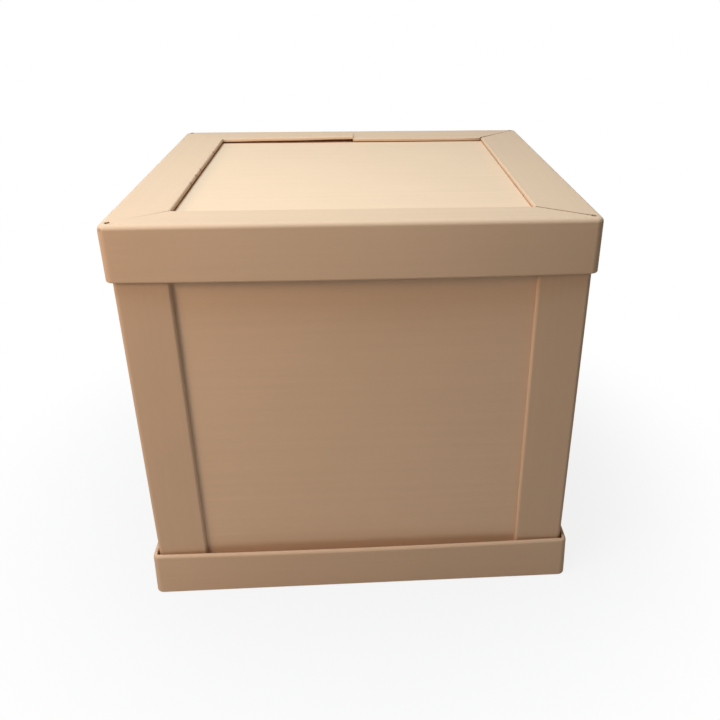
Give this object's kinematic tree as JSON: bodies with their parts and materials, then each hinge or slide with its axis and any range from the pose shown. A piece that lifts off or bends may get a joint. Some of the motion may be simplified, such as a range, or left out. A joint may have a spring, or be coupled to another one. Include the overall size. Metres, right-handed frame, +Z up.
{
  "type": "honeycomb cardboard box",
  "caption": "Heavy honeycomb cardboard shipping box: a sleeve of wall panels with angle-board corner posts, in a tray base, closed by a lift-off lid.",
  "frame": {"origin": "on the floor under the middle of the box", "axes": "+Z up, +X to the right along the wider side, front face towards -Y"},
  "size_m": [0.88, 0.8082, 0.8197],
  "materials": {
    "honeycomb_panel": "matt kraft paper liner",
    "angle_board": "matt kraft paper, faintly smoother than the panels"
  },
  "bodies": {
    "box": {"base_panel": "honeycomb_panel", "tray_edge_board": "angle_board", "wall_front": "honeycomb_panel", "wall_back": "honeycomb_panel", "wall_left": "honeycomb_panel", "wall_right": "honeycomb_panel", "corner_post_front_left": "angle_board", "corner_post_front_right": "angle_board", "corner_post_back_left": "angle_board", "corner_post_back_right": "angle_board"},
    "lid": {"lid_panel": "honeycomb_panel", "lid_edge_board": "angle_board"}
  },
  "joints": [
    {"name": "lid_lift", "type": "slide", "parent": "box", "child": "lid", "axis": [0, 0, 1], "range_m": [0, 0.45]}
  ]
}
